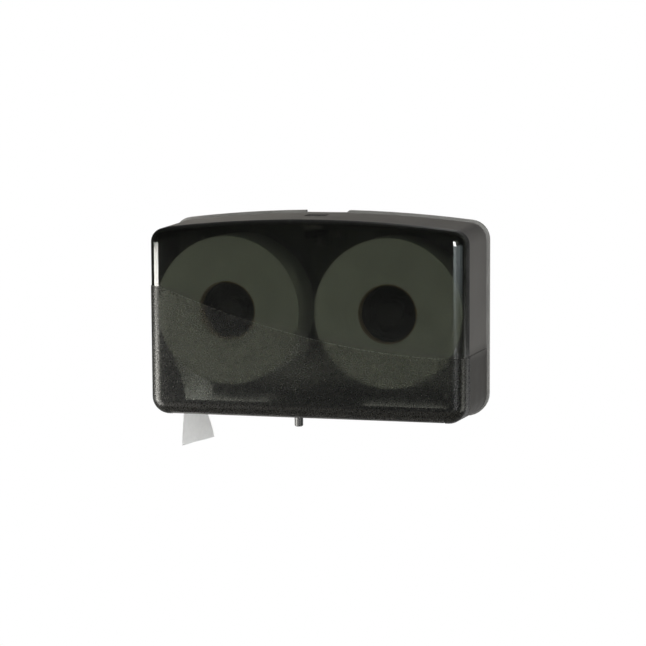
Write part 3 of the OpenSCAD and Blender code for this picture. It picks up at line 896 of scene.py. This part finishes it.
    def lug_bars(self, name: str, half: float, radius: float, operation: str) -> list[tuple]:
        """Makes a bar on the hinge axis at each lug, left first, with its operation."""
        return [(bar_along_x(name, (x - half, x + half), *self.pin, radius), operation)
                for x in (-self.lug_x, self.lug_x)]

    def zone_the_cuts(self, mesh: Mesh) -> None:
        """Makes the pad, the recess and the glossy faces of the floor opening matte.

        Args:
            mesh: the cover's mesh, with its cuts made.
        """
        count = len(mesh.polygons)
        centres, zones = np.zeros(count * 3, np.float32), np.zeros(count, np.int32)
        mesh.polygons.foreach_get("center", centres)
        mesh.polygons.foreach_get("material_index", zones)
        x, y, z = centres.reshape(-1, 3).T
        middle, half = sum(self.recess_x) / 2, (self.recess_x[1] - self.recess_x[0]) / 2
        beside = np.abs(x - middle) < half + self.pad_margin + self.spare
        recess = beside & (y > self.pad_front - self.spare) & (z > self.pad_z - 1.5 * self.spare)
        floor = (z < self.mouth_top + self.spare / 10) & (zones == Zone.GLOSSY.value)
        zones[recess | floor] = Zone.MATTE.value
        mesh.polygons.foreach_set("material_index", zones)


# ---- Paper ----


@dataclass
class TissueRoll:
    """One wound roll: faintly stepped ends, softened corners, round its core."""

    side: str
    axis_x: float
    radius: float = 113 * MM
    bore: float = 45 * MM
    front: float = 137 * MM
    width: float = 90 * MM
    corner: float = 1.2 * MM
    unevenness: float = 0.12 * MM
    sag: float = 0.0009
    around: int = 192

    def profile(self) -> np.ndarray:
        """Goes round the section from the bore's front edge outwards.

        The end faces sink by up to a quarter of a millimetre, more or less with the
        radius, as layers do that were wound at uneven tension.

        Returns:
            Radius and depth of each corner, shape (n, 2).
        """
        r = np.linspace(self.bore, self.radius - self.corner, 70)
        sink = self.unevenness * (1 + np.sin(r * 2900) * np.cos(r * 1130))
        front = np.column_stack([r, self.front - sink])
        turn = np.radians(np.linspace(80, 10, 5))
        edge = self.radius - self.corner
        bend = np.column_stack([edge + self.corner * np.cos(turn),
                                self.front - self.corner + self.corner * np.sin(turn)])
        mid = self.front - self.width / 2
        half = np.vstack([front, bend, [[self.radius, self.front - self.corner * 1.4]]])
        mirrored = half[::-1] * [1, -1] + [0, 2 * mid]
        return np.vstack([half, mirrored])

    def build(self, finish: Material) -> Object:
        """Turns the profile about the spindle axis.

        Args:
            finish: the roll's material.

        Returns:
            The roll, riding on its body in place of the CAD solid.
        """
        profile = self.profile()
        angle = full_turn(self.around)
        r, depth = profile[:, 0][:, None], profile[:, 1][:, None]
        outwards = (r - self.bore) / (self.radius - self.bore)
        oval = 1 + self.sag * np.sin(2 * angle + 0.7) * outwards
        points = np.stack([self.axis_x + r * oval * np.cos(angle),
                           np.broadcast_to(-depth, (len(profile), self.around)),
                           r * oval * np.sin(angle)], axis=-1)
        faces = []
        for k in range(len(profile)):
            nxt = (k + 1) % len(profile)
            faces += ring_faces(k * self.around, nxt * self.around, self.around)[:, ::-1].tolist()
        roll = piece_of(f"wound_roll_{self.side}", points.reshape(-1, 3), faces)
        roll.data.materials.append(finish)
        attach(roll, f"roll_{self.side}")
        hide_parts(f"tissue_roll_{self.side}")
        return roll


@dataclass
class PaperTail:
    """The loose end of the left roll: off the roll, down the outlet, torn below it."""

    axis_x: float = -125 * MM
    wrap_radius: float = 113.7 * MM
    wrap_from: float = 196.0
    wrap_to: float = 210.0
    outlet_z: float = -158 * MM
    low_z: float = -210.5 * MM
    tooth: float = 1.0 * MM
    tooth_pitch: float = 4 * MM
    thickness: float = 0.3 * MM
    flat_width: float = 90 * MM
    flat_length: float = 186 * MM
    wrap_share: float = 0.15
    fall_share: float = 0.7
    torn_share: float = 0.97
    lead: float = 45 * MM
    above: tuple[float, float] = (-193 * MM, -126 * MM)
    front_x: tuple[float, float] = (-196 * MM, -200 * MM)
    rear_x: tuple[float, float] = (-191.8 * MM, -178 * MM)
    front_depth: tuple[float, float] = (136.5 * MM, 135 * MM)
    rear_depth: tuple[float, float] = (47.5 * MM, 45.5 * MM)
    ripple: float = 0.5 * MM
    rows: int = 130
    cols: int = 70

    def line(self, t: np.ndarray, v: np.ndarray) -> tuple[np.ndarray, np.ndarray]:
        """Follows the roll's arc, then one Bezier curve to the outlet, then hangs.

        Below the outlet the rear edge swings further in than the front one.

        Args:
            t: share of the way from the roll to the torn edge.
            v: share of the way from the front edge to the rear one.

        Returns:
            X and Z of the web.
        """
        start, end = math.radians(self.wrap_from), math.radians(self.wrap_to)
        wrap = start + (end - start) * np.clip(t / self.wrap_share, 0, 1)
        s = np.clip((t - self.wrap_share) / (self.fall_share - self.wrap_share), 0, 1)

        def bezier(*knots: float | np.ndarray) -> np.ndarray:
            """One coordinate of a cubic curve through four control values."""
            shares = ((1 - s) ** 3, 3 * (1 - s) ** 2 * s, 3 * (1 - s) * s ** 2, s ** 3)
            return sum(share * knot for share, knot in zip(shares, knots))

        top_x = self.axis_x + self.wrap_radius * math.cos(end)
        top_z = self.wrap_radius * math.sin(end)
        out_x = self.front_x[0] + (self.rear_x[0] - self.front_x[0]) * v
        fall_x = bezier(top_x, top_x - self.lead * math.sin(end), self.above[0], out_x)
        fall_z = bezier(top_z, top_z + self.lead * math.cos(end), self.above[1], self.outlet_z)
        h = np.clip((t - self.fall_share) / (1 - self.fall_share), 0, 1)
        swing = (h + h * h * (3 - 2 * h)) / 2
        hang_front = self.front_x[0] + (self.front_x[1] - self.front_x[0]) * np.sin(h * math.pi / 2)
        hang_rear = self.rear_x[0] + (self.rear_x[1] - self.rear_x[0]) * swing
        hang_x = hang_front + (hang_rear - hang_front) * v
        hang_z = self.outlet_z + (self.low_z - self.outlet_z) * h
        wrapped, falling = t < self.wrap_share, t < self.fall_share
        x = np.where(wrapped, self.axis_x + self.wrap_radius * np.cos(wrap),
                     np.where(falling, fall_x, hang_x))
        z = np.where(wrapped, self.wrap_radius * np.sin(wrap), np.where(falling, fall_z, hang_z))
        return x, z

    def build(self, finish: Material) -> Object:
        """Lays the web on its grid, with a toothed torn edge and a soft ripple.

        Args:
            finish: the web's material.

        Returns:
            The sheet, riding on the case in place of the CAD solid.
        """
        t = np.linspace(0, 1, self.rows)[:, None]
        v = np.linspace(0, 1, self.cols)[None, :]
        x, z = self.line(t, v * np.ones_like(t))
        ease = t * t * (3 - 2 * t)
        front, rear = (start + (end - start) * ease
                       for start, end in (self.front_depth, self.rear_depth))
        depth = front + (rear - front) * v
        saw = np.abs(((depth / self.tooth_pitch) % 1) - 0.5) * 2
        last = np.clip((t - self.torn_share) / (1 - self.torn_share), 0, 1)
        z = z + last * self.tooth * saw
        hang = np.clip((t - self.fall_share) / (1 - self.fall_share), 0, 1)
        x = x + hang * self.ripple * np.sin(v * 9 + 1.2 * hang) * np.sin(v * math.pi)
        points = np.stack([x, -depth * np.ones_like(t), z], axis=-1).reshape(-1, 3)
        tail = piece_of("paper_tail", points, grid_faces(self.rows, self.cols).tolist(), 80)
        thick = tail.modifiers.new("web", "SOLIDIFY")
        thick.thickness, thick.offset = self.thickness, 0.0
        tail.data.materials.append(finish)
        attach(tail, "root")
        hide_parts("tissue_tail")
        return tail


# ---- Frame nodes ----


def dress_nodes(finishes: dict[str, Material], own: dict[str, Material]) -> None:
    """Gives every CAD node that stays in view its finish, by its slot in the record.

    Args:
        finishes: material of each slot name.
        own: material of each node that has one to itself.
    """
    for row in frame["record"]["subparts"]:
        node = frame["nodes"].get(row["node"])
        finish = own.get(row["node"], finishes.get(row["material_slot"]))
        if node is None or finish is None:
            continue
        node.data.materials.clear()
        node.data.materials.append(finish)
        log.info("dressed %s in %s", row["node"], finish.name)


# ---- Studio ----


@dataclass(frozen=True)
class PhotoCamera:
    """The photograph's viewpoint: where it stands, and the lens in pixels."""

    azimuth: float = 15.54
    elevation: float = 6.22
    roll: float = -0.34
    distance: float = 3.188
    target: tuple[float, float, float] = (0.0, -0.075, -0.0136)
    focal_px: float = 2090.0
    target_px: tuple[float, float] = (317.65, 316.96)
    frame_px: float = 646.0
    sensor: float = 36.0

    def make(self) -> None:
        """Adds the camera and makes it the scene's own."""
        data = bpy.data.cameras.new("photo_camera")
        data.sensor_width = self.sensor
        data.lens = self.focal_px / self.frame_px * self.sensor
        data.shift_x = (self.frame_px / 2 - self.target_px[0]) / self.frame_px
        data.shift_y = (self.target_px[1] - self.frame_px / 2) / self.frame_px
        data.clip_end = 60.0
        camera = bpy.data.objects.new("photo_camera", data)
        bpy.context.collection.objects.link(camera)
        a, e = math.radians(self.azimuth), math.radians(self.elevation)
        back = Vector((math.sin(a) * math.cos(e), -math.cos(a) * math.cos(e), math.sin(e)))
        camera.location = Vector(self.target) + back * self.distance
        camera.rotation_mode = "QUATERNION"
        turn = Quaternion((0, 0, 1), math.radians(self.roll))
        camera.rotation_quaternion = (-back).to_track_quat("-Z", "Y") @ turn
        bpy.context.scene.camera = camera


class Reach(Enum):
    """What a soft lamp acts on."""

    MIRRORS = "glossy"
    SURFACES = "diffuse"


@dataclass(frozen=True)
class SoftBox:
    """One soft lamp: its size, its place, its power and what it acts on."""

    name: str
    reach: Reach
    place: tuple[float, float, float]
    size: tuple[float, float]
    watts: float
    colour: tuple[float, float, float] = (1.0, 1.0, 1.0)

    def make(self, aim: Vector) -> None:
        """Adds the lamp, turned to the object and unseen by the camera.

        Args:
            aim: the point that it faces.
        """
        data = bpy.data.lights.new(self.name, "AREA")
        data.shape = "RECTANGLE"
        data.size, data.size_y = self.size
        data.energy, data.color = self.watts, self.colour
        lamp = bpy.data.objects.new(self.name, data)
        lamp.location = self.place
        lamp.rotation_mode = "QUATERNION"
        lamp.rotation_quaternion = (aim - lamp.location).to_track_quat("-Z", "Y")
        lamp.visible_camera = lamp.visible_transmission = False
        lamp.visible_glossy = self.reach is Reach.MIRRORS
        lamp.visible_diffuse = self.reach is Reach.SURFACES
        bpy.context.collection.objects.link(lamp)


@dataclass(frozen=True)
class Studio:
    """A plainly lit studio: even ambient, soft lamps, a white backdrop and a pale floor."""

    ambient: float = 0.55
    backdrop: float = 0.9
    dim: float = 0.03
    floor_z: float = -1.3
    floor_half: float = 9.0
    aim: tuple[float, float, float] = (0.0, -0.08, 0.0)
    boxes: tuple[SoftBox, ...] = (
        SoftBox("left_window", Reach.MIRRORS, (-1.45, -1.03, -0.09), (1.33, 0.16), 12.5, WARM),
        SoftBox("left_low", Reach.MIRRORS, (-1.45, -1.03, -0.64), (1.33, 0.94), 100.0, WARM),
        SoftBox("right_window", Reach.MIRRORS, (0.99, -1.32, 0.03), (1.6, 0.26), 2.2, COOL),
        SoftBox("right_glow", Reach.MIRRORS, (0.66, -1.46, -0.06), (0.6, 0.24), 0.4, COOL),
        SoftBox("right_far", Reach.MIRRORS, (1.5, -0.45, 0.03), (0.9, 0.26), 0.7, COOL),
        SoftBox("right_low", Reach.MIRRORS, (0.9, -1.35, -0.39), (0.9, 0.2), 6.5),
        SoftBox("right_spot", Reach.MIRRORS, (0.62, -1.34, 0.38), (0.45, 0.6), 26.0),
        SoftBox("top_box", Reach.SURFACES, (-0.82, 0.2, 0.76), (0.3, 0.3), 12.0, NEUTRAL),
        SoftBox("front_box", Reach.SURFACES, (-0.3, -2.6, 1.0), (1.4, 1.4), 14.0),
        SoftBox("tail_box", Reach.SURFACES, (1.2, 0.06, -0.52), (0.3, 0.3), 4.5),
    )

    def world(self) -> None:
        """Builds the surroundings.

        The camera sees white. Mirror and glass rays see the white backdrop straight
        behind the case and a dim room elsewhere, and the rest is lit by an even ambient.
        """
        world = bpy.data.worlds.new("studio")
        world.use_nodes = True
        bpy.context.scene.world = world
        w = Wiring(world.node_tree)
        background = world.node_tree.nodes["Background"]
        path = w.add("ShaderNodeLightPath").outputs
        way = w.add("ShaderNodeSeparateXYZ", {0: w.add("ShaderNodeTexCoord").outputs["Generated"]})
        room = w.add("ShaderNodeMapRange", {"Value": way.outputs[1], 1: 0.955, 2: 0.99, 3: self.dim,
                                            4: self.backdrop}, interpolation_type="SMOOTHSTEP")
        seen = w.math("MAXIMUM", path["Is Glossy Ray"], path["Is Transmission Ray"])
        lit = w.add("ShaderNodeMix", {0: seen, 2: self.ambient, 3: room.outputs[0]})
        final = w.add("ShaderNodeMix", {0: path["Is Camera Ray"], 2: lit.outputs[0], 3: 1.0})
        w.wear(background, Color=(1.0, 1.0, 1.0, 1.0), Strength=final.outputs[0])

    def floor(self) -> None:
        """Lays a pale floor that the camera sees as white."""
        half = self.floor_half
        plan = ((-half, -half), (half, -half), (half, half), (-half, half))
        corners = np.array([[x, y, self.floor_z] for x, y in plan])
        floor = piece_of("floor", corners, [[0, 1, 2, 3]])
        w = Surface("pale_floor")
        grain = w.add("ShaderNodeTexNoise", {"Scale": 8.0})
        tone = w.blend(grain.outputs[0], (0.78,) * 3, (0.82,) * 3)
        w.wear(w.shader, Base_Color=tone, Roughness=0.9)
        path = w.add("ShaderNodeLightPath").outputs
        white = w.add("ShaderNodeEmission", {"Strength": 1.0})
        mix = w.add("ShaderNodeMixShader",
                    {0: path["Is Camera Ray"], 1: w.shader.outputs[0], 2: white.outputs[0]})
        out = next(n for n in w.tree.nodes if n.type == "OUTPUT_MATERIAL")
        w.wear(out, Surface=mix.outputs[0])
        floor.data.materials.append(w.material)

    def build(self) -> None:
        """Makes the surroundings, the lamps and the floor."""
        bpy.context.scene.view_settings.view_transform = "Standard"
        self.world()
        for box in self.boxes:
            box.make(Vector(self.aim))
        self.floor()


def main() -> None:
    """Builds the scene in order and reports each piece."""
    logging.basicConfig(level=logging.INFO, format="%(name)s: %(message)s")
    PhotoCamera().make()
    Studio().build()
    effects = Effects()
    steel = PlatedSteel("zinc_steel").make(effects)
    black = MouldedPlastic("black_abs", (0.012, 0.012, 0.011), 0.4).make(effects)
    grey = MouldedPlastic("rim_abs", (0.225, 0.222, 0.205), 0.45).make(effects)
    finishes = {"black_plastic": black, "grey_plastic": grey, "steel": steel}
    spindle_x = {"left": -125 * MM, "right": 125 * MM}
    own = {"tear_strip_left": PlatedSteel("strip_steel", roughness=0.22).make(effects)}
    own["tear_strip_right"] = own["tear_strip_left"]
    own["spindle_cap_left"] = own["spindle_cap_right"] = black
    for side, x in spindle_x.items():
        own[f"core_{side}"] = CoreBoard(f"core_board_{side}", x).make(effects)
        finish = WoundTissue(f"wound_tissue_{side}", x).make(effects)
        log.info("built %s", TissueRoll(side, x).build(finish).name)
    dress_nodes(finishes, own)
    log.info("built %s", PaperTail().build(LooseTissue().make(effects)).name)
    cover = FrontCover().build({
        zone: finish.make(effects) for zone, finish in (
            (Zone.GLOSSY, SmokedPlastic("smoked_gloss", (0.182, 0.193, 0.163), 0.12)),
            (Zone.TEXTURED, SmokedPlastic("smoked_frost", (0.24, 0.24, 0.215), 0.285,
                                          frosted=True, ior=1.2)),
            (Zone.MATTE, EtchedSide("smoked_side", (0.096, 0.092, 0.085), (0.043, 0.041, 0.037))))
    })
    log.info("built %s with %d faces", cover.name, len(cover.data.polygons))


if __name__ == "__main__":
    main()
